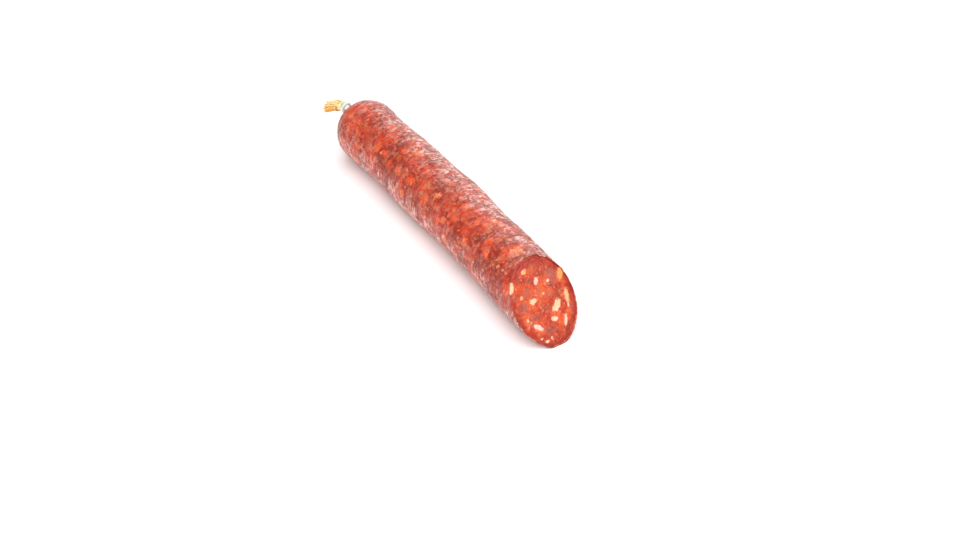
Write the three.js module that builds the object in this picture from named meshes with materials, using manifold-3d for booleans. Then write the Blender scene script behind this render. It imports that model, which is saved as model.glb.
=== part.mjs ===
// A stick of cured sausage, cut on the slant at one end and closed with a metal clip at the other.
// Millimetres, +Z up. The stick lies along X on its slightly flattened underside.
// Its clipped end is towards -X and its cut face looks towards +X and up.
// The origin is the middle of the box around it, at the surface that it lies on.
import * as THREE from "three";
import { mergeVertices } from "three/addons/utils/BufferGeometryUtils.js";
import Module from "manifold-3d";

const wasm = await Module();
wasm.setup();

// The stick. Distances along it are counted from the pole of its rounded end.
const RADIUS = 25; // the casing's outside
const END_DEPTH = 28; // how far the rounded end reaches, from full width to its pole
const END_FULLNESS = 2.4; // 2 would make it an ellipsoid, and more is blunter
const POLE_TO_CUT = 265; // from that pole to the middle of the cut face
const CUT_LEAN = THREE.MathUtils.degToRad(41); // how far the cut leans back from square
const SETTLE = 0.4; // how much the underside has flattened under its own weight
const AXIS_HEIGHT = RADIUS - SETTLE;
const BOW = 2; // how far both ends bend towards -Y
const CASING_WALL = 0.6;
const CLEARANCE = 0.3; // between neighbouring pieces

// The gathered end, which lies beyond the pole
const CONE_RADIUS = 7; // where the gathered cone meets the rounded end
const CONE_END = 9; // the cone is down to the neck here
const NECK_RADIUS = 2.4;
const NECK_RISE = 2.5; // the clip sits this much above the stick's axis
const CLIP_MIDDLE = 12;
const TAIL_START = 14.5; // the tuft starts to open here
const TAIL_END = 30; // the tuft's tip
const TAIL_RADIUS = 5.8;
const TAIL_FLATTEN = 0.7; // the tuft's height over its width
const TAIL_SWAY = 9; // how far the tuft's tip leans towards -Y
const TAIL_DROP = 6; // how far the tuft's tip hangs below the clip
const HALFWAY = { sway: 0.4, drop: 0.3 }; // the share of both that it has reached halfway
const PLEATS = 9;
const PLEAT_DEPTH = 0.16; // a pleat's depth over the radius there
const PLEAT_FADE = 3; // the length over which the pleats come and go

// The clip
const CLIP_WIRE = { along: 3.2, thick: 2.0 };
const CLIP_TURN = THREE.MathUtils.degToRad(328); // from one end of the wire to the other
const CLIP_WIDEN = 1.12; // crimping leaves the ring wider than it is high

// Mesh density
const SIDES = 48;
const BODY_RINGS = 26;
const END_RINGS = 9;
const TAIL_RINGS = 5;
const CONE_RINGS = 4;
const GATHER_SAMPLES = 200;
const CLIP_SECTION_SIDES = 8;
const CLIP_STEPS = 36;
const MERGE_WITHIN = 1e-4;

// Long shallow waves that wind round the stick
const WAVES = [
  { height: 0.35, long: 19, around: 2, start: 0 },
  { height: 0.25, long: 11, around: -1, start: 1 },
];

// Gentle swells and waists, each centred at a distance along the stick and an angle round it
const SWELLS = [
  { at: 22, towards: 3.3, rise: 1.1, long: 18, wide: 0.9 },
  { at: 42, towards: 0.9, rise: -0.7, long: 16, wide: 0.9 },
  { at: 96, towards: 3.6, rise: 0.2, long: 26, wide: 1.1 },
  { at: 152, towards: 0.6, rise: 0.8, long: 20, wide: 0.9 },
  { at: 178, towards: 3.7, rise: -0.5, long: 34, wide: 1.0 },
  { at: 236, towards: 0.8, rise: -0.6, long: 14, wide: 1.0 },
];
const UNDERSIDE = { from: 0.75, calm: 0.9 }; // the waves and swells all but vanish underneath

const { lerp, smoothstep } = THREE.MathUtils;
const gauss = (x) => Math.exp(-x * x);
const turnBetween = (a, b) => Math.atan2(Math.sin(a - b), Math.cos(a - b));

// How far the surface stands out from a plain round stick, at distance s from the pole.
// turn is the angle round the stick, from +Y towards +Z.
function swell(s, turn) {
  let out = 0;
  for (const w of WAVES) {
    out += w.height * Math.sin(s / w.long + w.around * turn + w.start);
  }
  for (const w of SWELLS) {
    out += w.rise * gauss((s - w.at) / w.long) * gauss(turnBetween(turn, w.towards) / w.wide);
  }
  const under = smoothstep(-Math.sin(turn), UNDERSIDE.from, 1);
  return out * smoothstep(s, 0, END_DEPTH) * (1 - UNDERSIDE.calm * under);
}

function bowAt(s) {
  const fromMiddle = (2 * s) / POLE_TO_CUT - 1;
  return -BOW * fromMiddle * fromMiddle;
}

// The line that the gathered end follows, from inside the rounded end through the clip to the tuft's tip
const gatherLine = new THREE.CatmullRomCurve3([
  new THREE.Vector3(END_DEPTH, 0, 0),
  new THREE.Vector3(0, 0, 0),
  new THREE.Vector3(-CLIP_MIDDLE, 0, NECK_RISE),
  new THREE.Vector3(
    -(CLIP_MIDDLE + TAIL_END) / 2,
    -HALFWAY.sway * TAIL_SWAY,
    NECK_RISE - HALFWAY.drop * TAIL_DROP,
  ),
  new THREE.Vector3(-TAIL_END, -TAIL_SWAY, NECK_RISE - TAIL_DROP),
]);
const gatherPoints = gatherLine.getPoints(GATHER_SAMPLES);

function gatherFrame(s) {
  const i = gatherPoints.findIndex((p) => p.x <= s + MERGE_WITHIN);
  const along = gatherLine.getTangent(i / GATHER_SAMPLES);
  return {
    centre: gatherPoints[i],
    lean: new THREE.Quaternion().setFromUnitVectors(new THREE.Vector3(-1, 0, 0), along),
  };
}

// A point of the body: the round surface with its waves and swells, bowed
function placeOnBody(s, r, turn) {
  const out = r + swell(s, turn) * smoothstep(r, 0, RADIUS);
  return new THREE.Vector3(s, out * Math.cos(turn) + bowAt(s), out * Math.sin(turn));
}

// A point of the gathered end: pleated, flattened towards the tip, and set across the leaning line
function placeOnGather(s, r, turn) {
  const tuft = smoothstep(-s - TAIL_START, 0, PLEAT_FADE);
  const cone = smoothstep(-s, 0, PLEAT_FADE) * smoothstep(CONE_END + s, 0, PLEAT_FADE);
  const out = r * (1 + PLEAT_DEPTH * Math.max(tuft, cone) * Math.cos(PLEATS * turn));
  const height = lerp(1, TAIL_FLATTEN, tuft);
  const { centre, lean } = gatherFrame(s);
  const v = new THREE.Vector3(0, out * Math.cos(turn), out * Math.sin(turn) * height);
  v.applyQuaternion(lean).add(centre);
  v.y += bowAt(0);
  return v;
}

// Lays a lathe along X and gives it the stick's shape, lying on its flattened underside.
// depth is how far this surface lies inside the casing's own.
function shapeStick(lathe, depth) {
  lathe.rotateZ(-Math.PI / 2);
  const p = lathe.attributes.position;
  for (let i = 0; i < p.count; i++) {
    const s = p.getX(i);
    const r = Math.hypot(p.getY(i), p.getZ(i));
    const turn = Math.atan2(p.getZ(i), p.getY(i));
    const v = s > 0 ? placeOnBody(s, r, turn) : placeOnGather(s, r, turn);
    p.setXYZ(i, v.x, v.y, Math.max(v.z + AXIS_HEIGHT, depth));
  }
  return lathe;
}

// The rounded end's radius at distance s from its pole, at a depth inside the casing's surface
function endRadius(s, depth) {
  const toPole = 1 - (s - depth) / (END_DEPTH - depth);
  return (RADIUS - depth) * Math.sqrt(Math.max(0, 1 - toPole ** END_FULLNESS));
}

// The rounded end and the body, run on past the cut to where nothing of the stick is left
function stickRings(depth) {
  const points = [];
  for (let i = 1; i <= END_RINGS; i++) {
    const s = depth + (END_DEPTH - depth) * (1 - Math.cos(((i / END_RINGS) * Math.PI) / 2));
    points.push(new THREE.Vector2(endRadius(s, depth), s));
  }
  const past = POLE_TO_CUT + 1.4 * RADIUS;
  for (let i = 1; i <= BODY_RINGS; i++) {
    const s = lerp(END_DEPTH, past, i / BODY_RINGS);
    points.push(new THREE.Vector2(RADIUS - depth, s));
  }
  points.push(new THREE.Vector2(0, past));
  return points;
}

// The tuft from its tip to the clip, then the neck and the cone up to the rounded end
function gatheredRings() {
  const points = [new THREE.Vector2(0, -TAIL_END)];
  for (let i = TAIL_RINGS; i >= 0; i--) {
    const t = i / TAIL_RINGS;
    const r = lerp(NECK_RADIUS, TAIL_RADIUS, Math.sqrt(t));
    points.push(new THREE.Vector2(r, -lerp(TAIL_START, TAIL_END, t)));
  }
  for (let i = 0; i <= CONE_RINGS; i++) {
    const t = i / CONE_RINGS;
    const r = lerp(NECK_RADIUS, CONE_RADIUS, t * t);
    points.push(new THREE.Vector2(r, -lerp(CONE_END, 0, t)));
  }
  return points;
}

function solidOf(geometry) {
  const bare = new THREE.BufferGeometry().setAttribute("position", geometry.attributes.position);
  bare.setIndex(geometry.index);
  const merged = mergeVertices(bare, MERGE_WITHIN);
  return new wasm.Manifold(
    new wasm.Mesh({
      numProp: 3,
      vertProperties: merged.attributes.position.array,
      triVerts: new Uint32Array(merged.index.array),
    }),
  );
}

function geometryOf(solid) {
  const m = solid.getMesh();
  return new THREE.BufferGeometry()
    .setAttribute("position", new THREE.BufferAttribute(m.vertProperties, 3))
    .setIndex(new THREE.BufferAttribute(m.triVerts, 1))
    .toNonIndexed();
}

// Everything beyond the slanted cut
function beyondTheCut() {
  const side = 6 * RADIUS;
  const box = new THREE.BoxGeometry(side, side, side);
  box.translate(side / 2, 0, 0);
  box.rotateY(-CUT_LEAN);
  box.translate(POLE_TO_CUT, 0, AXIS_HEIGHT);
  return solidOf(box);
}

// The stick from its first rings on. Rings of the rounded end that are narrower than those are left out.
function stickSolid(depth, startRings) {
  const startRadius = startRings.at(-1).x;
  const body = stickRings(depth);
  const rings = [...startRings, ...body.slice(body.findIndex((ring) => ring.x > startRadius))];
  return solidOf(shapeStick(new THREE.LatheGeometry(rings, SIDES), depth));
}

function roundedStick(depth) {
  return stickSolid(depth, [new THREE.Vector2(0, depth)]);
}

const knife = beyondTheCut();

function makeFilling() {
  const meat = roundedStick(CASING_WALL + CLEARANCE).subtract(knife);
  const material = new THREE.MeshStandardMaterial({ color: 0xb5432e, roughness: 0.45, metalness: 0 });
  return new THREE.Mesh(geometryOf(meat), material);
}

function makeCasing() {
  const skin = stickSolid(0, gatheredRings()).subtract(roundedStick(CASING_WALL)).subtract(knife);
  const material = new THREE.MeshStandardMaterial({ color: 0x9c4034, roughness: 0.4, metalness: 0 });
  return new THREE.Mesh(geometryOf(skin), material);
}

// The clip's wire goes over the neck, and its two crimped ends all but meet under it.
class ClipPath extends THREE.Curve {
  getPoint(t, target = new THREE.Vector3()) {
    const r = NECK_RADIUS + CLEARANCE + CLIP_WIRE.thick / 2;
    const reach = CLIP_TURN * (t - 0.5);
    return target.set(0, CLIP_WIDEN * r * Math.sin(reach), r * Math.cos(reach));
  }
}

function makeClip() {
  const section = new THREE.Shape();
  section.absellipse(0, 0, CLIP_WIRE.along / 2, CLIP_WIRE.thick / 2, 0, 2 * Math.PI);
  const wire = new THREE.ExtrudeGeometry(section, {
    steps: CLIP_STEPS,
    curveSegments: CLIP_SECTION_SIDES / 2,
    extrudePath: new ClipPath(),
  });
  const material = new THREE.MeshStandardMaterial({ color: 0xd4d6d8, roughness: 0.3, metalness: 1 });
  const clip = new THREE.Mesh(wire, material);
  const { centre, lean } = gatherFrame(-CLIP_MIDDLE);
  clip.quaternion.copy(lean);
  clip.position.set(centre.x, centre.y + bowAt(0), centre.z + AXIS_HEIGHT);
  return clip;
}

const stick = new THREE.Group();
const makers = { filling: makeFilling, casing: makeCasing, clip: makeClip };
for (const [name, make] of Object.entries(makers)) {
  const piece = make();
  piece.name = name;
  stick.add(piece);
}

// The origin goes to the middle of the whole stick's box, at the surface that it lies on.
const box = new THREE.Box3().setFromObject(stick);
const middle = box.getCenter(new THREE.Vector3());
stick.position.set(-middle.x, -middle.y, 0);

export default stick;
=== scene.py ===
"""The looks of a stick of cured sausage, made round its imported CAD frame.

Shapes are worked out in millimetres in the stick's own terms, as in part.mjs: s is the distance along the
stick from the pole of its rounded end, and turn is the angle round it from +Y towards +Z. Meshes are made
in metres. "Row" millimetres are the CAD frame's own, times 1000.
"""

import math

import bpy
import numpy as np
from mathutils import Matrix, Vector


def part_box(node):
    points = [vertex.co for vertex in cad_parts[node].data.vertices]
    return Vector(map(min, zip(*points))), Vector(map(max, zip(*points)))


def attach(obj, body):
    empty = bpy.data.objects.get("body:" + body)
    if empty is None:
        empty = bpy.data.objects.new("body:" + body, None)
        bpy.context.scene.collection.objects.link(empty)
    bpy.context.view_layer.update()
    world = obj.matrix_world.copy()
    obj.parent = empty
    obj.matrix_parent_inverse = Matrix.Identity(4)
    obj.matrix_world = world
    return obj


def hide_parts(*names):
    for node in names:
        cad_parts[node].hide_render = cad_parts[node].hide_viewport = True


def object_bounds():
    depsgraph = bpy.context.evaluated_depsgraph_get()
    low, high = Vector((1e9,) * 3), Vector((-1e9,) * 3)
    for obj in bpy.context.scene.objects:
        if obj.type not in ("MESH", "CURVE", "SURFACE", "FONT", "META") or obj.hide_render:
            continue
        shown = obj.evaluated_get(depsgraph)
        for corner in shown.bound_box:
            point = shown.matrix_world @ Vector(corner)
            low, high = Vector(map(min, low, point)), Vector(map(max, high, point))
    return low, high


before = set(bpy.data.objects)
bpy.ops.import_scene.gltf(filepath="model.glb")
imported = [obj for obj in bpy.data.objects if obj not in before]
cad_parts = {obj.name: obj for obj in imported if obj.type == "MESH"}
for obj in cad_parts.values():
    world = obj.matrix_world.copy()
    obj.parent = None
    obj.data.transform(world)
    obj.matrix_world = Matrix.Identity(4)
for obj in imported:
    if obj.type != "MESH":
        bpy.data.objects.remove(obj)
CAD_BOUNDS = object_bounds()

MM = 0.001

# The stick, as in part.mjs
RADIUS = 25.0
END_DEPTH = 28.0
END_FULLNESS = 2.4
POLE_TO_CUT = 265.0
CUT_LEAN = math.radians(41)
SETTLE = 0.4
AXIS_HEIGHT = RADIUS - SETTLE
BOW = 2.0
CASING_WALL = 0.6
CLEARANCE = 0.3
WAVES = ((0.35, 19, 2, 0), (0.25, 11, -1, 1))  # height, length, turns round, start
SWELLS = (  # at, towards, rise, long, wide
    (22, 3.3, 1.1, 18, 0.9),
    (42, 0.9, -0.7, 16, 0.9),
    (96, 3.6, 0.2, 26, 1.1),
    (152, 0.6, 0.8, 20, 0.9),
    (178, 3.7, -0.5, 34, 1.0),
    (236, 0.8, -0.6, 14, 1.0),
)
UNDERSIDE_FROM, UNDERSIDE_CALM = 0.75, 0.9
DOME_JOIN = 6  # how sharply the rounded end meets its cone
CONE_FADES = (2, 12)  # between these distances from the pole, the cone stops pulling the rounded end out

# The gathered end, as in part.mjs
CONE_RADIUS = 7.0
CONE_END = 9.0
NECK_RADIUS = 2.4
NECK_RISE = 2.5
CLIP_MIDDLE = 12.0
TAIL_START = 14.5
TAIL_END = 30.0
TAIL_RADIUS = 5.8
TAIL_FLATTEN = 0.7
TAIL_SWAY = 9.0
TAIL_DROP = 6.0
HALFWAY_SWAY, HALFWAY_DROP = 0.4, 0.3
COARSE_FOLDS = (14, 1.6, 1.0)  # how many, how far they wander round, start
FINE_FOLDS = (26, 2.2, 4.0)
TUFT_FOLDS = (9, 2.4, 1.7)
TUFT_FINE_FOLDS = (23, 2.0, 3.1)
RIM_FOLDS = (7, 2.0, 0.5)
RIM_FINE_FOLDS = (17, 1.0, 2.5)
NECK_PLEATS = 0.16  # the deepest pleats, as a share of the radius

# The clip, as in part.mjs
CLIP_ALONG, CLIP_THICK = 3.2, 2.0
CLIP_TURN = math.radians(328)
CLIP_WIDEN = 1.12

# Mesh density
SIDES = 256
BODY_RINGS = 232
DOME_RINGS = 58
NECK_RINGS = 10
TAIL_RINGS = 24
INNER_RINGS = 26  # of the casing's inside
FUNNEL_RINGS = 8
FUNNEL_START = TAIL_RINGS - 7  # the tuft's hollow starts at this ring of it
MEAT_RINGS = 16  # of the filling's hidden sides
FACE_RINGS = 74

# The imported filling's lowest corner is its own pole, which lies this deep inside the casing's.
POLE_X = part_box("filling")[0].x / MM - (CASING_WALL + CLEARANCE)

TURNS = np.arange(SIDES) * 2 * math.pi / SIDES


def smoothstep(x, low=0.0, high=1.0):
    t = np.clip((x - low) / (high - low), 0, 1)
    return t * t * (3 - 2 * t)


def lerp(a, b, t):
    return a + (b - a) * t


# ---------------------------------------------------------------- the stick's surface


def swell(s, turn):
    """How far the surface stands out from a plain round stick."""
    out = 0
    for height, length, around, start in WAVES:
        out = out + height * np.sin(s / length + around * turn + start)
    for at, towards, rise, length, wide in SWELLS:
        away = np.arctan2(np.sin(turn - towards), np.cos(turn - towards))
        out = out + rise * np.exp(-(((s - at) / length) ** 2)) * np.exp(-((away / wide) ** 2))
    under = smoothstep(-np.sin(turn), UNDERSIDE_FROM, 1)
    return out * smoothstep(s, 0, END_DEPTH) * (1 - UNDERSIDE_CALM * under)


def bow(s):
    return -BOW * (2 * s / POLE_TO_CUT - 1) ** 2


def body_points(s, r, turn):
    out = r + swell(s, turn) * smoothstep(r, 0, RADIUS)
    return np.stack([s, out * np.cos(turn) + bow(s), AXIS_HEIGHT + out * np.sin(turn)], -1)


def cut_distance(depth):
    """How far along the stick the slanted cut comes, at each of TURNS."""
    s = np.full(SIDES, POLE_TO_CUT)
    for _ in range(12):
        z = np.maximum(body_points(s, RADIUS - depth, TURNS)[:, 2], depth)
        s = POLE_TO_CUT - (z - AXIS_HEIGHT) * math.tan(CUT_LEAN)
    return s


def end_profile(s):
    """The radius of the rounded end and of the gathered cone that grows out of its pole."""
    dome = RADIUS * np.sqrt(np.clip(1 - np.clip(1 - s / END_DEPTH, 0, 1) ** END_FULLNESS, 0, 1))
    t = np.clip((s + CONE_END) / CONE_END, 0, 1)
    slope = 2 * (CONE_RADIUS - NECK_RADIUS) / CONE_END
    cone = lerp(NECK_RADIUS, CONE_RADIUS, t * t) + slope * np.clip(s, 0, None)
    joined = (dome**DOME_JOIN + cone**DOME_JOIN) ** (1 / DOME_JOIN)
    return lerp(joined, dome, smoothstep(s, *CONE_FADES))


GATHER_KNOTS = np.array(
    [
        (-TAIL_END, -TAIL_SWAY, NECK_RISE - TAIL_DROP),
        (-(CLIP_MIDDLE + TAIL_END) / 2, -HALFWAY_SWAY * TAIL_SWAY, NECK_RISE - HALFWAY_DROP * TAIL_DROP),
        (-CLIP_MIDDLE, 0, NECK_RISE),
        (0, 0, 0),
        (END_DEPTH, 0, 0),
    ]
)


def gather_line(s):
    """The line that the gathered end follows: a smooth curve through its knots."""
    knots = GATHER_KNOTS
    slopes = np.gradient(knots[:, 1:], knots[:, 0], axis=0)
    i = np.clip(np.searchsorted(knots[:, 0], s) - 1, 0, len(knots) - 2)
    width = knots[i + 1, 0] - knots[i, 0]
    t = ((s - knots[i, 0]) / width)[..., None]
    a, b = knots[i, 1:], knots[i + 1, 1:]
    da, db = slopes[i] * width[..., None], slopes[i + 1] * width[..., None]
    side = (2 * t**3 - 3 * t**2 + 1) * a + (t**3 - 2 * t**2 + t) * da
    side = side + (3 * t**2 - 2 * t**3) * b + (t**3 - t**2) * db
    return np.concatenate([s[..., None], side], -1)


def gather_points(s, r, turn, height):
    """Points round the gathered end's line. height squashes the section."""
    centre = gather_line(s)
    ahead = gather_line(np.minimum(s + 0.5, 0)) - gather_line(s - 0.5)
    ahead /= np.linalg.norm(ahead, axis=-1, keepdims=True)
    across = np.cross(np.array([0, 0, 1.0]), ahead)
    across /= np.linalg.norm(across, axis=-1, keepdims=True)
    up = np.cross(ahead, across)
    offset = (r * np.cos(turn))[..., None] * across + (r * np.sin(turn) * height)[..., None] * up
    place = centre + offset
    place[..., 1] += bow(0)
    place[..., 2] += AXIS_HEIGHT
    return place


def folds(turn, count, wander, seed):
    """Gathered skin's folds: round ridges and sharp valleys, from 0 in a valley to 1 on a ridge."""
    phase = count * turn + wander * (np.sin(2 * turn + seed) + 0.6 * np.sin(3 * turn + 2.3 * seed))
    return np.abs(np.sin(phase / 2)) ** 0.7


def end_folds(s, r, turn):
    """How deep the skin's pleats go on the rounded end and its cone, as a share of the radius there."""
    coarse = 1 - folds(turn, *COARSE_FOLDS)
    fine = 1 - folds(turn, *FINE_FOLDS)
    near = smoothstep(r, 21, 8)
    close = smoothstep(r, 12, 5)
    return near * (0.10 * fine + 0.05 * coarse) + close * NECK_PLEATS * coarse


def tail_rings():
    """The open tuft, from its ragged rim to the clip."""
    rings = []
    tip = -TAIL_END - 0.6 + 1.4 * folds(TURNS, *RIM_FOLDS) + 1.6 * folds(TURNS, *RIM_FINE_FOLDS)
    for i in range(TAIL_RINGS):
        t = 1 - i / TAIL_RINGS
        s = lerp(-TAIL_START, tip, t)
        flare = lerp(NECK_RADIUS, TAIL_RADIUS, math.sqrt(t) * (1 - 0.12 * t))
        twist = TURNS + 0.5 * t
        deep = 1 - folds(twist, *TUFT_FOLDS)
        fine = 1 - folds(twist + 0.3 * t, *TUFT_FINE_FOLDS)
        crumple = 0.42 * deep + 0.14 * fine
        r = flare * (1.16 - smoothstep(t, 0, 0.3) * crumple)
        waved = np.sin(3 * TURNS + 7 * t) * np.cos(2 * TURNS - 5 * t)
        r = r * (1 + 0.10 * smoothstep(t, 0.1, 0.6) * waved)
        rings.append(gather_points(s, r, TURNS, lerp(1.0, TAIL_FLATTEN, smoothstep(t))))
    return rings


def neck_rings():
    """The neck, which the clip squeezes to its own shape."""
    rings = []
    for i in range(NECK_RINGS):
        s = np.full(SIDES, lerp(-TAIL_START, -CONE_END, i / NECK_RINGS))
        r = NECK_RADIUS * (1 - NECK_PLEATS * (1 - folds(TURNS, *COARSE_FOLDS)))
        held = math.exp(-(((s[0] + CLIP_MIDDLE) / (CLIP_ALONG / 2)) ** 2))
        r = lerp(r, (NECK_RADIUS + CLEARANCE) * CLIP_WIDEN, held)
        rings.append(gather_points(s, r, TURNS, lerp(1.0, 1 / CLIP_WIDEN, held)))
    return rings


def dome_rings():
    """The cone and the rounded end, with rings closer together towards the neck."""
    rings = []
    for i in range(DOME_RINGS):
        t = i / DOME_RINGS
        s = np.full(SIDES, lerp(-CONE_END, END_DEPTH, t * t * 0.45 + t * 0.55))
        r = end_profile(s)
        r = r * (1 - end_folds(s, r, TURNS))
        if s[0] < 0:
            rings.append(gather_points(s, r, TURNS, 1.0))
        else:
            rings.append(body_points(s, r, TURNS))
    return rings


def body_rings():
    """The long part of the stick, up to the slanted cut."""
    to = cut_distance(0)
    return [
        body_points(lerp(END_DEPTH, to, i / BODY_RINGS), np.full(SIDES, RADIUS), TURNS)
        for i in range(BODY_RINGS + 1)
    ]


def skin_grid():
    """The casing's outside before its fine relief: rings of points from the tuft's rim to the cut."""
    grid = np.array(tail_rings() + neck_rings() + dome_rings() + body_rings())
    grid[..., 2] = np.maximum(grid[..., 2], 0)
    return grid


def grid_normals(grid):
    along = np.gradient(grid, axis=0)
    around = (np.roll(grid, -1, 1) - np.roll(grid, 1, 1)) / 2
    n = np.cross(around, along)
    return n / np.maximum(np.linalg.norm(n, axis=-1, keepdims=True), 1e-9)


# ---------------------------------------------------------------- node trees


class Nodes:
    """Adds nodes to a shader's or a geometry's tree, and gives back the output that is wanted."""

    def __init__(self, tree):
        self.tree = tree

    def add(self, kind, inputs=None, **settings):
        node = self.tree.nodes.new(kind)
        for name, value in settings.items():
            setattr(node, name, value)
        for name, value in (inputs or {}).items():
            if isinstance(value, bpy.types.NodeSocket):
                self.tree.links.new(value, node.inputs[name])
            else:
                node.inputs[name].default_value = value
        return node

    def math(self, operation, *values):
        return self.add("ShaderNodeMath", dict(enumerate(values)), operation=operation).outputs[0]

    def vector(self, operation, *values):
        return self.add("ShaderNodeVectorMath", dict(enumerate(values)), operation=operation).outputs[0]

    def noise(self, at, size, detail=2.0, roughness=0.5, output=0):
        inputs = {"Vector": at, "Scale": 1 / size, "Detail": detail, "Roughness": roughness}
        return self.add("ShaderNodeTexNoise", inputs).outputs[output]

    def cells(self, at, size, feature="F1"):
        inputs = {"Vector": at, "Scale": 1 / size}
        return self.add("ShaderNodeTexVoronoi", inputs, feature=feature)

    def ramp(self, value, low, high, to_low=0.0, to_high=1.0):
        inputs = {"Value": value, "From Min": low, "From Max": high, "To Min": to_low, "To Max": to_high}
        return self.add("ShaderNodeMapRange", inputs, interpolation_type="SMOOTHSTEP").outputs[0]

    def mix(self, factor, a, b):
        """A colour, from a where factor is 0 to b where it is 1."""
        return self.add("ShaderNodeMix", {0: factor, 6: a, 7: b}, data_type="RGBA").outputs[2]

    def split(self, vector):
        return self.add("ShaderNodeSeparateXYZ", {"Vector": vector}).outputs

    def attribute(self, name):
        return self.add("ShaderNodeAttribute", attribute_name=name).outputs["Fac"]


def paint(code):
    """A colour written as on screen, such as c8503c, in Blender's linear light."""
    srgb = [int(code[i : i + 2], 16) / 255 for i in (0, 2, 4)]
    return tuple(c / 12.92 if c <= 0.04045 else ((c + 0.055) / 1.055) ** 2.4 for c in srgb) + (1.0,)


def wander(n, at, size, reach):
    """Moves a place by noise, up to about reach each way, so that what is drawn there has ragged edges."""
    push = n.vector("SUBTRACT", n.noise(at, size, detail=1.5, output=1), (0.5, 0.5, 0.5))
    return n.vector("MULTIPLY_ADD", push, (2 * reach,) * 3, at)


RAGGED = ((6.5, 2.6), (2.0, 0.9), (0.7, 0.28))  # size and reach of each noise that bends the grains' edges
LEAN_SIZE = 7.5
GRAINS = (  # name, size, share of places that have one, softness of its edge, where its pattern starts
    ("fat", 6.6, 0.34, 0.16, (31.0, 17.0, 5.0)),
    ("bit", 2.9, 0.40, 0.22, (7.0, 3.0, 11.0)),
    ("fleck", 1.35, 0.50, 0.30, (2.0, 9.0, 4.0)),
)


def grain(n, at):
    """The ground meat and fat at a place in millimetres. Each value runs from 0 to 1.

    lean, fat, bit and fleck say how far inside such a piece this is. Each has a tone of its own, the same all
    over that piece. seam says how near this is to the edge of a lean piece.
    """
    place = at
    for size, reach in RAGGED:
        place = wander(n, place, size, reach)
    lean_edge = n.cells(place, LEAN_SIZE, "DISTANCE_TO_EDGE").outputs["Distance"]
    pick, tone, _ = n.split(n.cells(place, LEAN_SIZE).outputs["Color"])
    found = {
        "lean": n.math("MULTIPLY", n.ramp(lean_edge, 0.02, 0.16), n.ramp(pick, 0.34, 0.36)),
        "lean_tone": tone,
        "seam": n.ramp(lean_edge, 0.0, 0.10, 1.0, 0.0),
    }
    for name, size, share, soft, start in GRAINS:
        cell = n.cells(n.vector("ADD", place, start), size)
        pick, tone, _ = n.split(cell.outputs["Color"])
        reach = n.ramp(pick, 1.0 - share, 1.0, -0.05, 0.56)
        found[name] = n.ramp(n.math("SUBTRACT", reach, cell.outputs["Distance"]), -soft / 3, soft)
        found[name + "_tone"] = tone
    return found


def stretched(n, at, x, y, z):
    return n.vector("MULTIPLY", at, (1 / x, 1 / y, 1 / z))


def ridged(n, value):
    """Turns noise into sharp lines: 1 on a line, falling off to 0 on both sides."""
    return n.math("SUBTRACT", 1.0, n.math("ABSOLUTE", n.math("MULTIPLY_ADD", value, 2.0, -1.0)))


def skin_relief(n, at):
    """What shapes the casing's fine relief at a place in millimetres, each about 0 to 1."""
    g = grain(n, at)
    along = n.noise(stretched(n, at, 15, 2.6, 2.6), 1.0, detail=2.5, roughness=0.55)
    around = n.noise(stretched(n, at, 1.5, 9, 9), 1.0, detail=2.0)
    return {
        "lump": n.noise(at, 9.0, detail=1.0),
        "wrinkle": ridged(n, along),
        "wrinkled": n.ramp(n.noise(at, 24.0, detail=0.0), 0.38, 0.62),
        "ring": ridged(n, around),
        "lean": g["lean"],
        "fat": g["fat"],
        "bit": g["bit"],
        "seam": g["seam"],
    }


def evaluate(points, fields):
    """Works out node fields at points (row millimetres). Returns each as an array of the points' shape."""
    shape = points.shape[:-1]
    flat = points.reshape(-1, 3)
    mesh = bpy.data.meshes.new("probe")
    mesh.vertices.add(len(flat))
    mesh.vertices.foreach_set("co", (flat * MM).astype(np.float32).ravel())
    probe = bpy.data.objects.new("probe", mesh)
    bpy.context.scene.collection.objects.link(probe)
    tree = bpy.data.node_groups.new("probe", "GeometryNodeTree")
    for way in ("INPUT", "OUTPUT"):
        tree.interface.new_socket("Geometry", in_out=way, socket_type="NodeSocketGeometry")
    n = Nodes(tree)
    at = n.vector("MULTIPLY", n.add("GeometryNodeInputPosition").outputs[0], (1 / MM,) * 3)
    geometry = n.add("NodeGroupInput").outputs[0]
    wanted = fields(n, at)
    for name, value in wanted.items():
        inputs = {"Geometry": geometry, "Name": name, "Value": value}
        geometry = n.add("GeometryNodeStoreNamedAttribute", inputs, data_type="FLOAT").outputs[0]
    n.add("NodeGroupOutput", {0: geometry})
    probe.modifiers.new("fields", "NODES").node_group = tree
    done = probe.evaluated_get(bpy.context.evaluated_depsgraph_get()).data
    found = {}
    for name in wanted:
        values = np.empty(len(flat), np.float32)
        done.attributes[name].data.foreach_get("value", values)
        found[name] = values.reshape(shape).astype(float)
    bpy.data.objects.remove(probe)
    bpy.data.meshes.remove(mesh)
    bpy.data.node_groups.remove(tree)
    return found


# ---------------------------------------------------------------- meshes

MAP_NAME = "OFBake"  # the name of the map that the casing and the filling are laid out on


def heights_between(rings, low, high):
    """Heights for rings on their piece's map, as far apart as the rings are on average."""
    steps = np.linalg.norm(np.diff(rings, axis=0), axis=-1).mean(1)
    far = np.append(0, np.cumsum(steps))
    return lerp(low, high, far / far[-1])


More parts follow.
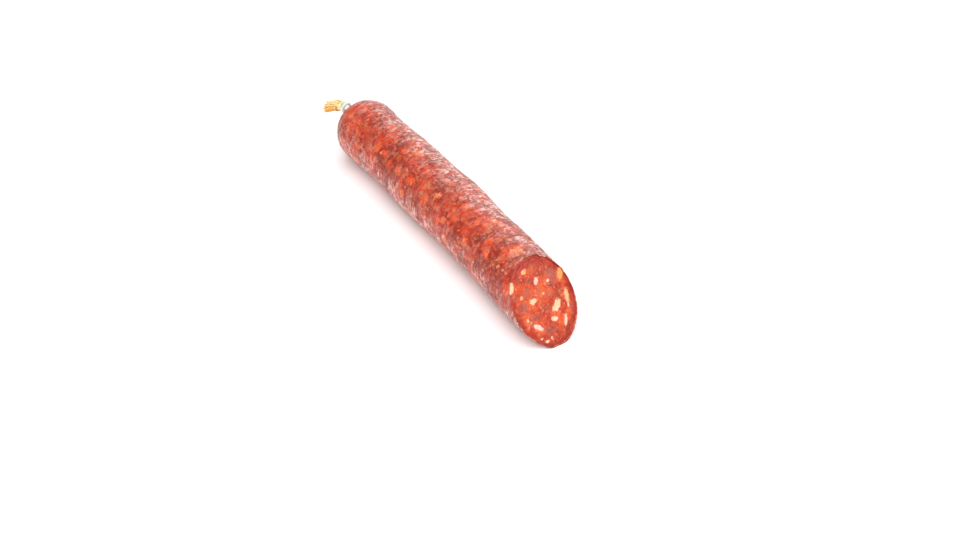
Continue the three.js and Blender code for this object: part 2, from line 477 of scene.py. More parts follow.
def strip_places(heights):
    """Where the corners of a lathe_object's faces lie on its map. Each ring lies across it, at its height."""
    left = np.arange(SIDES) / SIDES
    middle = left + 0.5 / SIDES
    right = left + 1 / SIDES

    def row(*corners):
        return np.stack([np.stack([x, np.full(SIDES, y)], -1) for x, y in corners], 1).reshape(-1, 2)

    rows = [row((middle, 0), (right, heights[0]), (left, heights[0]))]
    for low, high in zip(heights, heights[1:]):
        rows.append(row((left, low), (right, low), (right, high), (left, high)))
    rows.append(row((middle, 1), (left, heights[-1]), (right, heights[-1])))
    return np.concatenate(rows)


def lathe_object(name, rings, start, end, heights):
    """A closed mesh object from rings of SIDES points each, and the poles before and after them.

    All are in row millimetres. heights says how high on its map each ring lies, from 0 to 1.
    """
    rings = np.asarray(rings)
    index = np.arange(rings.shape[0] * SIDES).reshape(-1, SIDES)
    beside = np.roll(index, -1, 1)
    verts = np.vstack([rings.reshape(-1, 3), start, end])
    first, last = len(verts) - 2, len(verts) - 1
    faces = [(first, b, a) for a, b in zip(index[0].tolist(), beside[0].tolist())]
    faces += np.stack([index[:-1], beside[:-1], beside[1:], index[1:]], -1).reshape(-1, 4).tolist()
    faces += [(last, a, b) for a, b in zip(index[-1].tolist(), beside[-1].tolist())]
    mesh = bpy.data.meshes.new(name)
    mesh.from_pydata((verts * MM).tolist(), [], faces)
    mesh.polygons.foreach_set("use_smooth", [True] * len(mesh.polygons))
    mesh.update()
    places = strip_places(heights).astype(np.float32)
    mesh.uv_layers.new(name=MAP_NAME).uv.foreach_set("vector", places.ravel())
    piece = bpy.data.objects.new(name, mesh)
    bpy.context.scene.collection.objects.link(piece)
    return piece


def vertices_of(piece):
    """A piece's vertices in row millimetres."""
    co = np.empty(len(piece.data.vertices) * 3, np.float32)
    piece.data.vertices.foreach_get("co", co)
    return co.reshape(-1, 3).astype(float) / MM


def add_attribute(piece, name, values):
    layer = piece.data.attributes.new(name, "FLOAT", "POINT")
    layer.data.foreach_set("value", np.asarray(values, np.float32).ravel())


def nearest_spot(spots, across, along):
    """How far each place is from the nearest spot, where 1 is that spot's edge, and that spot's tone.

    A spot is (across, along, length, width, degrees from across towards along, tone).
    """
    best = np.full(np.shape(across), 9.0)
    tone = np.zeros(np.shape(across))
    for u, v, length, width, lean, spot_tone in spots:
        c, s = math.cos(math.radians(lean)), math.sin(math.radians(lean))
        du, dv = across - u, along - v
        far = np.hypot((du * c + dv * s) / (length / 2), (dv * c - du * s) / (width / 2))
        tone = np.where(far < best, spot_tone, tone)
        best = np.minimum(best, far)
    return best, tone


# ---------------------------------------------------------------- the casing

SKIN_PLAIN = skin_grid()  # in the stick's own place
ROW_SHIFT = np.array([POLE_X, -(SKIN_PLAIN[..., 1].min() + SKIN_PLAIN[..., 1].max()) / 2, 0])
CUT_MIDDLE = np.array([POLE_TO_CUT, bow(POLE_TO_CUT), AXIS_HEIGHT]) + ROW_SHIFT
CUT_NORMAL = np.array([math.cos(CUT_LEAN), 0, math.sin(CUT_LEAN)])
CUT_UP = np.array([-math.sin(CUT_LEAN), 0, math.cos(CUT_LEAN)])

# Pieces that show through the casing: s, length round the stick, length, width, lean in degrees, tone.
# Tones: 0 is dark lean meat, 0.5 orange-red fat and 1 peach-coloured fat.
ROUND = RADIUS * math.radians(1)
SKIN_SPOTS = (
    (79, 135 * ROUND, 7, 5, 20, 0.45),
    (92, 109 * ROUND, 9, 6, 0, 0.55),
    (117, 139 * ROUND, 11, 8, -30, 0.55),
    (148, 125 * ROUND, 6, 3.4, -50, 0.95),
    (165, 97 * ROUND, 6, 4, -45, 0.9),
    (162, 156 * ROUND, 9, 6, 60, 0.6),
    (196, 150 * ROUND, 8, 6, 70, 0.72),
    (219, 135 * ROUND, 7, 5, 70, 0.7),
    (236, 98 * ROUND, 13, 7, -50, 0.85),
    (208, 125 * ROUND, 7, 5, 20, 0.0),
    (55, 138 * ROUND, 16, 10, 20, 0.2),
    (97, 128 * ROUND, 12, 8, 0, 0.1),
    (35, 112 * ROUND, 9, 7, 0, 0.05),
    (122, 106 * ROUND, 13, 5, 10, 0.4),
    (204, 84 * ROUND, 12, 4, -40, 0.75),
    (156, 112 * ROUND, 10, 7, 0, 0.1),
    (139, 152 * ROUND, 8, 5, 40, 0.35),
    (183, 108 * ROUND, 9, 6, 30, 0.25),
    (176, 132 * ROUND, 7, 5, 30, 0.5),
)


def relief_of(grid):
    """How far the casing's surface sinks below the plain one. Each term's depth is in millimetres."""
    f = evaluate(grid, skin_relief)
    sink = 0.55 * (1 - f["lump"])
    sink += 0.42 * f["wrinkle"] ** 5 * f["wrinkled"]
    sink += 0.10 * f["wrinkle"] ** 3
    sink += 0.10 * f["ring"] ** 4
    sink += 0.16 * f["seam"]
    sink += 0.12 * (1 - f["lean"]) - 0.16 * f["fat"] - 0.07 * f["bit"]
    return np.clip(sink, 0, None)


def onto_cut(ring, back=0.0):
    """Slides a ring along X onto the cut, or onto a plane that far behind it."""
    moved = ring.copy()
    rise = (ring[..., 2] - CUT_MIDDLE[2]) * math.tan(CUT_LEAN)
    moved[..., 0] = CUT_MIDDLE[0] - rise - back / math.cos(CUT_LEAN)
    return moved


def make_skin():
    """The casing's outside with its relief, in row millimetres."""
    grid = SKIN_PLAIN + ROW_SHIFT
    s = SKIN_PLAIN[..., 0]
    calm = smoothstep(grid[..., 2], 0.0, 3.0) * smoothstep(s, -4, 14)  # none where it lies, or on the cone
    grid = grid - grid_normals(grid) * (relief_of(grid) * calm)[..., None]
    grid[..., 2] = np.maximum(grid[..., 2], 0)
    grid[-1] = onto_cut(grid[-1])
    return grid


def inset(grid, depth):
    """The same rings, depth further in, and that far above the surface that the stick lies on."""
    inner = grid - grid_normals(grid) * depth
    inner[..., 2] = np.maximum(inner[..., 2], depth)
    inner[-1] = onto_cut(inner[-1])
    return inner


SKIN = make_skin()
SKIN_WALL = 0.5
FILLING_GAP = 0.04
FIRST_MEAT_RING = TAIL_RINGS + NECK_RINGS + DOME_RINGS // 2


def skin_funnel():
    """The hollow of the open tuft, from its deepest ring out to the rim."""
    rings = []
    for i in range(FUNNEL_RINGS):
        t = i / (FUNNEL_RINGS - 1)
        ring = SKIN[round((1 - t) * FUNNEL_START)]
        middle = ring.mean(0)
        rings.append(middle + (ring - middle) * lerp(0.55, 0.90, t))
    return rings


def make_casing():
    inside = inset(SKIN, SKIN_WALL)
    steps = np.linspace(len(SKIN) - 1, FIRST_MEAT_RING, INNER_RINGS).astype(int)
    inner = [inside[i] for i in steps]
    funnel = skin_funnel()
    rings = funnel + list(SKIN) + inner
    heights = np.concatenate(  # the outside gets nearly all of the map
        [
            heights_between(funnel, 0.01, 0.03),
            heights_between(SKIN, 0.04, 0.94),
            heights_between(inner, 0.95, 0.99),
        ]
    )
    piece = lathe_object("casing_skin", rings, funnel[0].mean(0), inner[-1].mean(0), heights)
    at = vertices_of(piece) - ROW_SHIFT
    turn = np.arctan2(at[:, 2] - AXIS_HEIGHT, at[:, 1] - bow(at[:, 0])) % (2 * math.pi)
    far, tone = nearest_spot(SKIN_SPOTS, at[:, 0], turn * RADIUS)
    add_attribute(piece, "spot", far)
    add_attribute(piece, "spot_tone", tone)
    return piece


# ---------------------------------------------------------------- the filling

# The larger pieces of fat on the cut face, as the knife left them: across towards +Y, up the face, length,
# width, lean in degrees, tone. Tones: 0 is white and a little pink, 0.5 cream, and 1 stained orange.
FACE_SPOTS = (
    (-19.6, 15.6, 8.0, 5.0, 61, 0.4),
    (-6.4, 22.6, 3.8, 3.2, 30, 0.8),
    (0.1, 13.8, 5.4, 3.2, 62, 0.1),
    (8.6, 11.2, 2.6, 2.2, 20, 0.2),
    (19.4, 12.4, 8.8, 4.4, 66, 1.0),
    (18.2, -3.0, 10.0, 3.2, 78, 0.7),
    (8.6, -6.8, 10.5, 5.2, 41, 0.5),
    (-7.3, 1.9, 5.6, 4.4, 20, 0.4),
    (3.7, -14.5, 5.6, 3.2, -15, 0.15),
    (-10.5, -15.8, 7.8, 3.8, -42, 0.05),
    (11.2, -18.2, 8.0, 2.6, 66, 0.2),
    (-7.8, -26.8, 3.4, 2.2, 5, 0.3),
    (-3.6, -25.6, 2.0, 1.5, 60, 0.2),
    (-11.0, -23.8, 2.2, 1.4, 30, 0.1),
    (17.0, -9.8, 2.6, 1.5, 70, 0.1),
    (-14.5, 7.0, 3.0, 2.0, 40, 0.8),
    (-16.0, -8.5, 2.8, 1.9, 70, 0.7),
    (2.0, 4.2, 2.4, 1.8, 20, 0.85),
)
# The larger pieces of lean meat there, in the same terms. Tones: 0 is mauve and 1 brown.
FACE_LEAN = (
    (12.8, 14.1, 12.5, 9.5, 70, 0.15),
    (12.6, 1.2, 8.5, 5.5, 20, 0.9),
    (-15.6, 0.8, 8.0, 6.0, 60, 0.3),
    (-9.9, -8.9, 6.5, 4.5, 30, 0.6),
    (-2.0, -20.8, 9.5, 5.0, 0, 0.6),
    (19.6, -12.6, 7.0, 4.0, 70, 0.1),
    (6.4, 3.2, 4.5, 3.4, 10, 0.0),
    (-4.5, 15.8, 6.0, 3.6, 20, 0.75),
    (-13.0, 18.0, 5.5, 4.0, 40, 0.8),
    (2.5, -8.5, 5.0, 3.4, 50, 0.2),
)
FACE_BACK = 0.22  # the meat has shrunk back this far behind the casing's edge


def on_face(at):
    """Places in row millimetres as across and up the cut face, and how far each is beyond it."""
    away = at - CUT_MIDDLE
    return away[..., 1], away @ CUT_UP, away @ CUT_NORMAL


def face_fields(n, at):
    g = grain(n, at)
    return {
        "wave": n.noise(at, 13.0, detail=1.0),
        "pit": n.noise(at, 2.2, detail=2.0),
        "fine": n.noise(at, 0.9, detail=1.0),
        "fat": g["fat"],
        "bit": g["bit"],
        "seam": g["seam"],
        "lap": n.noise(stretched(n, at, 30, 30, 1.2), 1.0, detail=1.0),
    }


def face_relief(grid, inward):
    """How far the cut face sinks, in millimetres. So is inward, the way in from the casing."""
    f = evaluate(grid, face_fields)
    across, up, _ = on_face(grid)
    far, _ = nearest_spot(FACE_SPOTS, across, up)
    spot = 1 - smoothstep(far, 0.85, 1.1)
    sink = 0.35 * (1 - f["wave"])
    sink += 0.22 * f["seam"] * (1 - spot)
    sink += 0.45 * smoothstep(f["pit"], 0.66, 0.78) * (1 - spot)
    sink += 0.10 * (f["fine"] - 0.5)
    sink += 0.06 * (f["lap"] - 0.5)
    sink -= 0.12 * spot + 0.06 * f["bit"]
    sink += 0.25 * (1 - smoothstep(inward, 0.0, 1.2))
    return np.clip(sink, -0.15, None)


SIDES_ON_MAP = 0.2  # the share of the filling's map that its hidden sides get. The cut face gets the rest


def lay_out_face(piece, rings_before):
    """Lays the cut face out on the map as it is seen square on."""
    mesh = piece.data
    corners = np.empty(len(mesh.loops), np.int32)
    mesh.loops.foreach_get("vertex_index", corners)
    layer = mesh.uv_layers[MAP_NAME]
    places = np.empty(2 * len(corners), np.float32)
    layer.uv.foreach_get("vector", places)
    places = places.reshape(-1, 2)
    first = (3 + 4 * rings_before) * SIDES
    across, up, _ = on_face(vertices_of(piece)[corners[first:]])
    places[first:, 0] = (across - across.min()) / np.ptp(across)
    places[first:, 1] = lerp(SIDES_ON_MAP + 0.05, 1, (up - up.min()) / np.ptp(up))
    layer.uv.foreach_set("vector", places.ravel())


def make_filling():
    wall = inset(SKIN, SKIN_WALL + FILLING_GAP)
    edge = onto_cut(wall[-1], FACE_BACK)
    steps = np.linspace(FIRST_MEAT_RING, len(SKIN) - 4, MEAT_RINGS).astype(int)
    sides = [wall[i] for i in steps]
    shares = 1 - np.linspace(0, 1, FACE_RINGS + 1)[:-1]
    middle = onto_cut(CUT_MIDDLE, FACE_BACK)
    face = middle + (edge - middle) * shares[:, None, None]
    inward = np.linalg.norm(edge - face, axis=-1)
    face = face - CUT_NORMAL * face_relief(face, inward)[..., None]
    side_heights = heights_between(sides, 0.01, SIDES_ON_MAP)
    heights = np.append(side_heights, heights_between(face, SIDES_ON_MAP + 0.02, 0.99))
    piece = lathe_object("filling_meat", sides + list(face), sides[0].mean(0), face[-1].mean(0), heights)
    lay_out_face(piece, len(sides))
    at = vertices_of(piece)
    across, up, beyond = on_face(at)
    far, tone = nearest_spot(FACE_SPOTS, across, up)
    add_attribute(piece, "spot", far)
    add_attribute(piece, "spot_tone", tone)
    far, tone = nearest_spot(FACE_LEAN, across, up)
    add_attribute(piece, "lean_spot", far)
    add_attribute(piece, "lean_spot_tone", tone)
    depth = np.zeros((len(sides) + len(face), SIDES))
    depth[len(sides) :] = inward
    add_attribute(piece, "depth", np.append(depth.ravel(), [0, inward.max()]))
    return piece


# ---------------------------------------------------------------- the clip

CLIP_STEPS = 120
CLIP_SECTION = 28
CLIP_SQUARENESS = 0.55  # 1 is a round bar, and 0 a square one
CLIP_FIT = 0.97  # keeps the wire just inside its CAD solid
CLIP_END = 0.035  # each end is rounded over this share of the wire's length,
CLIP_END_SIZE = 0.45  # down to this share of its thickness
CLIP_DIE_MARKS, CLIP_DIE_WIDTH = (0.24, 0.5, 0.76), 0.022  # as shares of its length
CLIP_DIE_DEPTH, CLIP_DIE_PINCH = 0.16, 0.05  # as shares of its half thickness and half width


def clip_rings():
    """Sections of the crimped wire: rounded bars round an oval ring, with flats where the die pressed."""
    r = NECK_RADIUS + CLEARANCE + CLIP_THICK / 2
    around = np.arange(CLIP_SECTION) * 2 * math.pi / CLIP_SECTION
    side = np.sign(np.cos(around)) * np.abs(np.cos(around)) ** CLIP_SQUARENESS * CLIP_ALONG / 2
    out = np.sign(np.sin(around)) * np.abs(np.sin(around)) ** CLIP_SQUARENESS * CLIP_THICK / 2
    rings = []
    for i in range(CLIP_STEPS + 1):
        t = i / CLIP_STEPS
        reach = CLIP_TURN * (t - 0.5)
        full = min(min(t, 1 - t) / CLIP_END, 1)
        size = lerp(CLIP_END_SIZE, 1, math.sqrt(1 - (1 - full) ** 2))
        pressed = sum(math.exp(-(((t - mark) / CLIP_DIE_WIDTH) ** 2)) for mark in CLIP_DIE_MARKS)
        far = r + out * size * CLIP_FIT * np.where(out > 0, 1 - CLIP_DIE_DEPTH * pressed, 1)
        along = side * size * (1 - CLIP_DIE_PINCH * pressed)
        rings.append(np.stack([along, CLIP_WIDEN * far * math.sin(reach), far * math.cos(reach)], -1))
    return rings


def make_clip():
    rings = np.array(clip_rings())
    low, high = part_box("clip")
    middle = np.array((low + high) / 2) / MM
    s = np.array([-CLIP_MIDDLE])
    ahead = (gather_line(s + 0.5) - gather_line(s - 0.5))[0]
    ahead /= np.linalg.norm(ahead)
    across = np.cross([0, 0, 1.0], ahead)
    across /= np.linalg.norm(across)
    up = np.cross(ahead, across)
    turned = rings @ np.array([ahead, across, up])
    flat = turned.reshape(-1, 3)
    turned += middle - (flat.min(0) + flat.max(0)) / 2
    index = np.arange(len(rings) * CLIP_SECTION).reshape(-1, CLIP_SECTION)
    beside = np.roll(index, -1, 1)
    faces = np.stack([index[:-1], index[1:], beside[1:], beside[:-1]], -1).reshape(-1, 4).tolist()
    faces += [index[0].tolist(), index[-1][::-1].tolist()]
    mesh = bpy.data.meshes.new("clip_wire")
    mesh.from_pydata((turned.reshape(-1, 3) * MM).tolist(), [], faces)
    mesh.polygons.foreach_set("use_smooth", [True] * len(mesh.polygons))
    piece = bpy.data.objects.new("clip_wire", mesh)
    bpy.context.scene.collection.objects.link(piece)
    return piece


# ---------------------------------------------------------------- materials


def new_material(name):
    material = bpy.data.materials.new(name)
    material.use_nodes = True
    tree = material.node_tree
    tree.nodes.clear()
    n = Nodes(tree)
    shader = n.add("ShaderNodeBsdfPrincipled")
    output = n.add("ShaderNodeOutputMaterial")
    tree.links.new(shader.outputs[0], output.inputs["Surface"])
    at = n.vector("MULTIPLY", n.add("ShaderNodeTexCoord").outputs["Object"], (1 / MM,) * 3)
    return material, n, shader, at


def link(n, shader, **values):
    for name, value in values.items():
        n.tree.links.new(value, shader.inputs[name.replace("_", " ")])


def set_sockets(shader, **values):
    """Sets what is the same all over the surface."""
    for name, value in values.items():
        shader.inputs[name.replace("_", " ")].default_value = value


def bump(n, height, distance, strength=1.0):
    inputs = {"Height": height, "Distance": distance * MM, "Strength": strength}
    return n.add("ShaderNodeBump", inputs).outputs[0]


def meat_colour(n, at, g, paste, lean, fat):
    """Lean pieces and fat in a paste of fine crumbs. Each of paste, lean and fat is three colours."""
    crumb = n.noise(at, 2.6, detail=5.0, roughness=0.72)
    colour = n.mix(n.ramp(crumb, 0.36, 0.52), paste[0], paste[1])
    colour = n.mix(n.ramp(crumb, 0.50, 0.66), colour, paste[2])
    fibre = n.noise(stretched(n, at, 2.6, 0.7, 0.7), 1.0, detail=3.0, roughness=0.65)
    meat = n.mix(n.ramp(g["lean_tone"], 0.15, 0.45), lean[0], lean[1])
    meat = n.mix(n.ramp(g["lean_tone"], 0.65, 0.9), meat, lean[2])
    meat = n.mix(n.ramp(fibre, 0.35, 0.7, 0.0, 0.5), meat, paste[1])
    colour = n.mix(n.math("MULTIPLY", g["lean"], 0.78), colour, meat)
    fleck = n.mix(n.ramp(g["fleck_tone"], 0.3, 0.6), lean[0], fat[2])
    colour = n.mix(n.math("MULTIPLY", g["fleck"], n.ramp(crumb, 0.4, 0.6, 0.2, 0.6)), colour, fleck)
    bit = n.mix(n.ramp(g["bit_tone"], 0.1, 0.6), lean[2], fat[1])
    bit = n.mix(n.ramp(g["bit_tone"], 0.6, 0.95), bit, fat[2])
    colour = n.mix(n.math("MULTIPLY", g["bit"], 0.62), colour, bit)
    big = n.mix(n.ramp(g["fat_tone"], 0.1, 0.6), fat[0], fat[1])
    big = n.mix(n.ramp(crumb, 0.42, 0.66, 0.0, 0.6), big, paste[1])
    return n.mix(n.math("MULTIPLY", g["fat"], 0.85), colour, big)


def patches(n, at, name, low, high, rough):
    """How much of a list's spots shows here, with ragged edges: all of a spot within low, none past high."""
    push = n.math("SUBTRACT", n.noise(at, 2.2, detail=4.0, roughness=0.65), 0.5)
    return n.ramp(n.math("MULTIPLY_ADD", push, rough, n.attribute(name)), low, high, 1.0, 0.0)


def rim_of_cut(n, at):
    """How much of the cut face's dark, dried rim shows, which is wider near the top."""
    push = n.math("SUBTRACT", n.noise(at, 4.0, detail=3.0), 0.5)
    inward = n.math("MULTIPLY_ADD", push, 6.0, n.attribute("depth"))
    wider = n.ramp(n.split(at)[2], 36, 48, 0.0, -3.2)
    return n.ramp(n.math("ADD", inward, wider), 1.6, 5.2, 0.8, 0.0)


def filling_material():
    material, n, shader, at = new_material("cut_meat")
    g = grain(n, at)
    g["fat"] = n.math("MULTIPLY", g["fat"], 0.35)
    paste = (paint("982410"), paint("c03a18"), paint("d85428"))
    lean = (paint("96240e"), paint("a03c24"), paint("a85a48"))
    fat = (paint("e47034"), paint("ec9468"), paint("f0c0a0"))
    colour = meat_colour(n, at, g, paste, lean, fat)
    shade = n.noise(at, 8.0, detail=3.0)
    colour = n.mix(n.ramp(shade, 0.42, 0.68, 0.0, 0.6), colour, paint("ec6228"))
    lean_spot = patches(n, at, "lean_spot", 0.55, 1.25, 1.2)
    mauve = n.mix(n.attribute("lean_spot_tone"), paint("a85a50"), paint("904028"))
    colour = n.mix(n.math("MULTIPLY", lean_spot, 0.62), colour, mauve)
    rim = n.mix(g["lean_tone"], paint("8c1606"), paint("ac260a"))
    colour = n.mix(rim_of_cut(n, at), colour, rim)
    stain = patches(n, at, "spot", 0.9, 1.35, 1.0)
    colour = n.mix(n.math("MULTIPLY", stain, 0.4), colour, paint("e87848"))
    tone = n.attribute("spot_tone")
    white = n.mix(n.ramp(tone, 0.0, 0.5), paint("e6c6ba"), paint("e8c89c"))
    white = n.mix(n.ramp(tone, 0.5, 1.0), white, paint("ee9c48"))
    veins = n.ramp(n.noise(at, 1.3, detail=4.0, roughness=0.6), 0.48, 0.64, 0.0, 0.65)
    white = n.mix(veins, white, paint("e8a080"))
    colour = n.mix(patches(n, at, "spot", 0.72, 1.06, 1.6), colour, white)
    rough = n.ramp(n.noise(at, 2.0, detail=2.0), 0.3, 0.7, 0.26, 0.5)
    height = n.math("MULTIPLY_ADD", n.noise(at, 0.45, detail=3.0), 0.5, n.noise(at, 1.4, detail=2.0))
    link(n, shader, Base_Color=colour, Roughness=rough, Normal=bump(n, height, 0.25))
    set_sockets(shader, Subsurface_Weight=0.12, Subsurface_Radius=(2.4 * MM, 0.8 * MM, 0.4 * MM))
    set_sockets(shader, Subsurface_Scale=1.0, Coat_Weight=0.3, Coat_Roughness=0.16)
    return material


def tuft_colour(n, at, x, z):
    """Bare gathered skin: amber, with painted light that makes its top cream, painted shade in brown patches
    near the clip, and pale before the clip.
    """
    tone = n.noise(at, 3.4, detail=3.0)
    # painted light: the tuft is drawn cream towards its top, where the lights fall on it, and amber below
    high = n.math("MULTIPLY_ADD", tone, 9.0, n.math("SUBTRACT", z, AXIS_HEIGHT + 4.5))
    colour = n.mix(n.ramp(high, -4.5, 4.0), paint("e0983c"), paint("f6dc9c"))
    # painted shade: brown patches on the tuft, more of them towards the clip
    spots = n.noise(n.vector("ADD", at, (4.0, 8.0, 1.0)), 3.0, detail=2.0)
    close = n.ramp(x, POLE_X - TAIL_END, POLE_X - CLIP_MIDDLE, 0.25, 1.0)
    painted_clip_shade = n.math("MULTIPLY", n.ramp(spots, 0.54, 0.64, 0.0, 0.75), close)
    colour = n.mix(painted_clip_shade, colour, paint("80501c"))
    before_clip = n.ramp(x, POLE_X - CLIP_MIDDLE - 1, POLE_X - CONE_END, 0.0, 0.8)
    return n.mix(before_clip, colour, paint("f4ece0"))


def skin_colour(n, at, g):
    """The meat as it shows through the casing, with warm, dark and pale areas and the listed spots."""
    paste = (paint("761606"), paint("9e260c"), paint("b83a14"))
    lean = (paint("7c1808"), paint("8c2a14"), paint("a0503e"))
    fat = (paint("e44a0c"), paint("e46424"), paint("ee9c78"))
    colour = meat_colour(n, at, g, paste, lean, fat)
    warm = n.noise(at, 13.0, detail=4.0, roughness=0.6)
    colour = n.mix(n.ramp(warm, 0.50, 0.64, 0.0, 0.6), colour, paint("cc3c0c"))
    colour = n.mix(n.ramp(warm, 0.36, 0.48, 0.5, 0.0), colour, paint("742816"))
    pale = n.noise(n.vector("ADD", at, (9.0, 5.0, 2.0)), 6.0, detail=5.0, roughness=0.68)
    pale_hue = n.mix(n.ramp(n.noise(at, 7.0), 0.42, 0.58), paint("cc6458"), paint("cc8254"))
    colour = n.mix(n.ramp(pale, 0.50, 0.60, 0.0, 0.45), colour, pale_hue)
    tone = n.attribute("spot_tone")
    patch = n.mix(n.ramp(tone, 0.0, 0.5), paint("84200e"), paint("ea5014"))
    patch = n.mix(n.ramp(tone, 0.5, 1.0), patch, paint("fc9458"))
    inner = n.ramp(n.noise(at, 1.6, detail=3.0, roughness=0.6), 0.40, 0.62, 0.9, 0.35)
    shown = n.math("MULTIPLY", patches(n, at, "spot", 0.30, 1.25, 2.8), inner)
    return n.mix(shown, colour, patch)


def bloom_and_painted_sheen(n, y, z):
    """How thick the pale veil is laid on: most on both flanks, little on top and none underneath. It is
    partly dry bloom and partly a painted reflection and sheen of the lights on the flanks.
    """
    facing = n.math("ARCTAN2", y, n.math("SUBTRACT", z, AXIS_HEIGHT))  # 0 up, and positive towards +Y
    right = n.ramp(facing, math.radians(-30), math.radians(34), 0.10, 1.0)
    behind = n.ramp(facing, math.radians(55), math.radians(100), 1.0, 0.45)
    left = n.ramp(facing, math.radians(-52), math.radians(-120), 0.0, 0.85)
    both = n.math("ADD", n.math("MULTIPLY", right, behind), left)
    return n.math("MULTIPLY", both, n.ramp(z, 0.5, 9, 0.2, 1.0))


def casing_material():
    material, n, shader, at = new_material("cured_skin")
    x, y, z = n.split(at)
    colour = skin_colour(n, at, grain(n, at))
    # the pale veil, in ragged patches and in streaks along and around the stick: partly dry bloom, partly
    # painted reflection and sheen of the lights
    streak = n.noise(stretched(n, at, 1.7, 9, 9), 1.0, detail=4.0, roughness=0.65)
    along = n.noise(stretched(n, at, 9, 1.6, 1.6), 1.0, detail=3.0, roughness=0.6)
    crumb = n.noise(at, 3.5, detail=5.0, roughness=0.72)
    cloud = n.noise(at, 14.0, detail=4.0, roughness=0.6)
    mottled = n.math("MULTIPLY_ADD", crumb, 0.5, n.math("MULTIPLY", streak, 0.5))
    haze = n.math("MAXIMUM", n.ramp(mottled, 0.475, 0.60), n.ramp(along, 0.58, 0.70, 0.0, 0.7))
    haze = n.math("MULTIPLY", haze, n.ramp(cloud, 0.40, 0.56, 0.28, 1.0))
    haze = n.math("MULTIPLY_ADD", haze, 0.88, 0.06)
    # painted reflection and sheen: the veil goes on thickest on the flanks, where the lights catch them
    colour = n.mix(n.math("MULTIPLY", haze, bloom_and_painted_sheen(n, y, z)), colour, paint("f6d8d2"))
    # bare skin from the cone on
    ragged_x = n.math("MULTIPLY_ADD", n.noise(at, 3.0, detail=3.0), 7.0, x)
    bare = n.ramp(ragged_x, POLE_X - 4.5, POLE_X + 2.5, 1.0, 0.0)
    colour = n.mix(bare, colour, tuft_colour(n, at, x, z))
    rough = n.ramp(n.noise(at, 3.0, detail=3.0), 0.3, 0.7, 0.3, 0.52)
    fine = n.noise(stretched(n, at, 2.2, 0.5, 0.5), 1.0, detail=3.0)
    height = n.math("MULTIPLY_ADD", crumb, 1.2, n.math("MAXIMUM", streak, along))
    height = n.math("MULTIPLY_ADD", fine, 0.4, height)
    link(n, shader, Base_Color=colour, Roughness=rough, Normal=bump(n, height, 0.5))
    set_sockets(shader, Subsurface_Weight=0.04, Subsurface_Radius=(2.0 * MM, 0.7 * MM, 0.4 * MM))
    set_sockets(shader, Subsurface_Scale=1.0, Specular_IOR_Level=0.15, Coat_Weight=0.15, Coat_Roughness=0.2)
    set_sockets(shader, Sheen_Weight=0.07, Sheen_Roughness=0.4)
    return material


def clip_material():
    material, n, shader, at = new_material("crimped_aluminium")
    scratch = n.noise(stretched(n, at, 0.25, 3, 3), 1.0, detail=3.0)
    colour = n.mix(n.noise(at, 1.4, detail=2.0), paint("eceef0"), paint("d6d9dc"))
    link(n, shader, Base_Color=colour, Roughness=n.ramp(scratch, 0.25, 0.75, 0.42, 0.6))
    link(n, shader, Normal=bump(n, scratch, 0.03, 0.5))
    set_sockets(shader, Metallic=0.7)
    return material


# ---------------------------------------------------------------- floor, light and camera

FLOOR_RADIUS = 1.3
LIGHTS = (  # name, place, target, size, watts
    ("overhead", (0.4, -0.1, 1.6), (0.1, 0, 0), 2.4, 34),
    ("softbox", (-0.85, 0.95, 0.75), (0, 0, 0), 0.8, 6),
    ("fill", (1.3, -0.5, 0.9), (0, 0, 0), 0.8, 4.5),
    ("side", (0.1, -1.3, 0.4), (0.05, 0, 0.02), 1.2, 5.7),
)
WORLD_LIGHT = 0.38  # the room's own light. The camera sees plain white past the floor

# The camera looks from the photographer's side: how far round from -Y towards +X, and how far down
VIEW_AZIMUTH, VIEW_ELEVATION = math.radians(57.07), math.radians(40)
VIEW_DISTANCE = 3.077  # in lengths of the object
VIEW_TARGET = (0.2, -0.07)  # from the object's middle, in lengths and in widths of it
LENS = 51.2


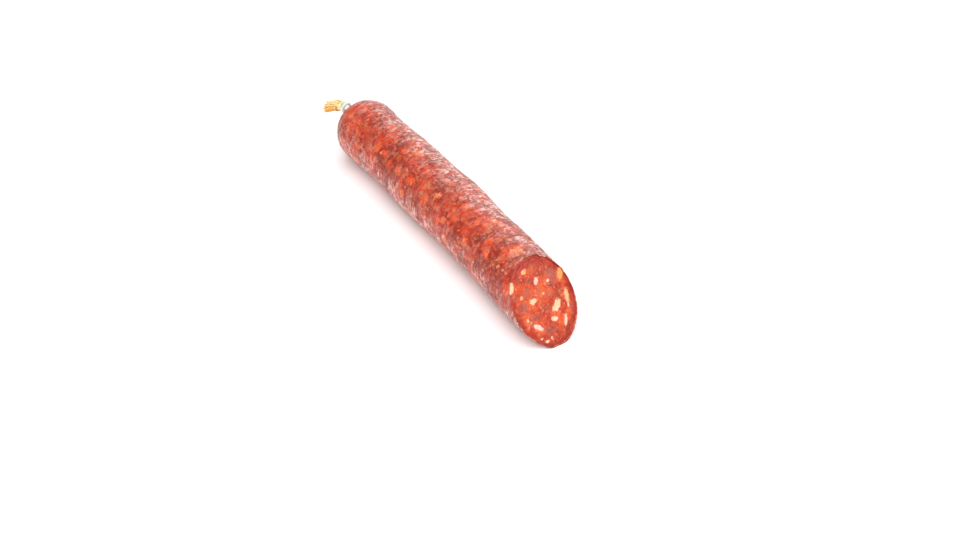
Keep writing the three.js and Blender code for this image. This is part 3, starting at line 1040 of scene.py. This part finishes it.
def make_floor():
    bpy.ops.mesh.primitive_circle_add(vertices=96, radius=FLOOR_RADIUS, fill_type="NGON")
    floor = bpy.context.object
    floor.name = "floor"
    material = bpy.data.materials.new("white_floor")
    material.use_nodes = True
    shader = material.node_tree.nodes["Principled BSDF"]
    set_sockets(shader, Base_Color=paint("fbfbfb"), Roughness=0.9, Specular_IOR_Level=0.1)
    floor.data.materials.append(material)


def aim(thing, place, target):
    thing.location = place
    thing.rotation_euler = (Vector(target) - Vector(place)).to_track_quat("-Z", "Y").to_euler()


def area_light(name, place, target, size, watts):
    data = bpy.data.lights.new(name, "AREA")
    data.shape = "DISK"
    data.size = size
    data.energy = watts
    lamp = bpy.data.objects.new(name, data)
    bpy.context.scene.collection.objects.link(lamp)
    aim(lamp, place, target)


def make_lights():
    for light in LIGHTS:
        area_light(*light)
    world = bpy.data.worlds.new("studio")
    world.use_nodes = True
    n = Nodes(world.node_tree)
    seen = n.add("ShaderNodeLightPath").outputs["Is Camera Ray"]
    strength = n.math("MULTIPLY_ADD", seen, 1.0 - WORLD_LIGHT, WORLD_LIGHT)
    n.tree.links.new(strength, n.tree.nodes["Background"].inputs["Strength"])
    n.tree.nodes["Background"].inputs["Color"].default_value = (1, 1, 1, 1)
    bpy.context.scene.world = world


def make_camera():
    low, high = (Vector(corner) for corner in CAD_BOUNDS)
    size, middle = high - low, (high + low) / 2
    target = Vector((middle.x + VIEW_TARGET[0] * size.x, middle.y + VIEW_TARGET[1] * size.y, low.z))
    level = math.cos(VIEW_ELEVATION)
    across = Vector((math.sin(VIEW_AZIMUTH), -math.cos(VIEW_AZIMUTH), 0)) * level
    away = across + Vector((0, 0, math.sin(VIEW_ELEVATION)))
    data = bpy.data.cameras.new("camera")
    data.lens = LENS
    data.clip_start = 0.01
    camera = bpy.data.objects.new("camera", data)
    bpy.context.scene.collection.objects.link(camera)
    aim(camera, target + away * size.x * VIEW_DISTANCE, target)
    bpy.context.scene.camera = camera


def place(piece, node, material):
    piece.data.materials.append(material)
    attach(piece, "root")
    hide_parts(node)


make_camera()
make_lights()
make_floor()
place(make_filling(), "filling", filling_material())
place(make_casing(), "casing", casing_material())
place(make_clip(), "clip", clip_material())

view = bpy.context.scene.view_settings
view.view_transform = "Standard"
view.look = "None"
